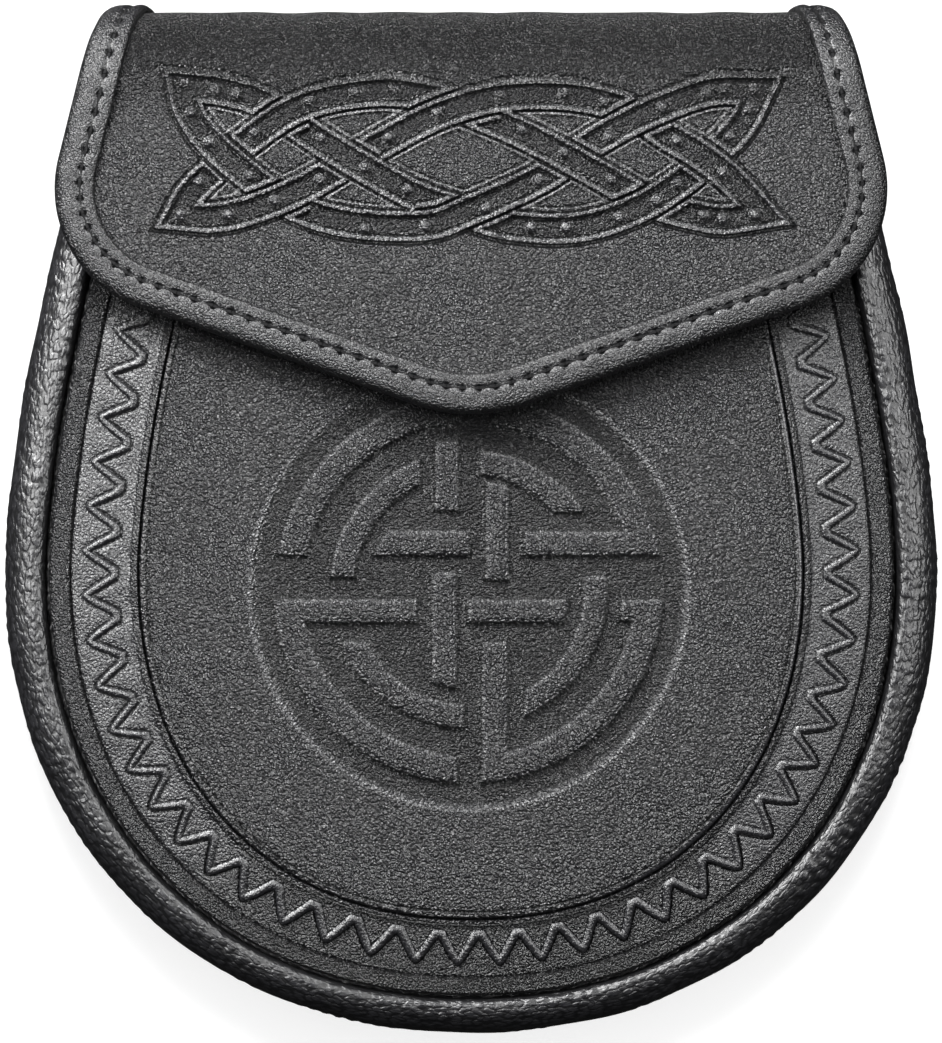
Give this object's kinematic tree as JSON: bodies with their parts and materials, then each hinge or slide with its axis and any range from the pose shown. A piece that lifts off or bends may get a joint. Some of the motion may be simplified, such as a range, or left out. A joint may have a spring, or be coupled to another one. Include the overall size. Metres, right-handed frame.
{
  "type": "sporran pouch",
  "caption": "Closed leather sporran pouch with a folded flap, soft gusset, tooled front and back belt loops, lying on its back.",
  "frame": {"origin": "on the surface that the pouch lies on, under the middle of its outline", "axes": "+X across the pouch, +Y up its front to the fold of the flap, +Z out of its front"},
  "size_m": [0.1866, 0.2061, 0.0435],
  "materials": {
    "tooled_leather": "fine-grained black leather, wax-finished, embossed",
    "plain_leather": "smooth black leather, semi-matt",
    "soft_grain_leather": "soft pebbled black leather with a sheen",
    "binding_leather": "fine-grained black leather strip, sewn",
    "stud_metal": "gunmetal"
  },
  "bodies": {
    "root": {"front_panel": "tooled_leather", "flap": "tooled_leather", "back_panel": "plain_leather", "belt_loop_left": "plain_leather", "belt_loop_right": "plain_leather", "gusset": "soft_grain_leather", "flap_binding": "binding_leather", "snap_stud": "stud_metal"}
  },
  "joints": []
}
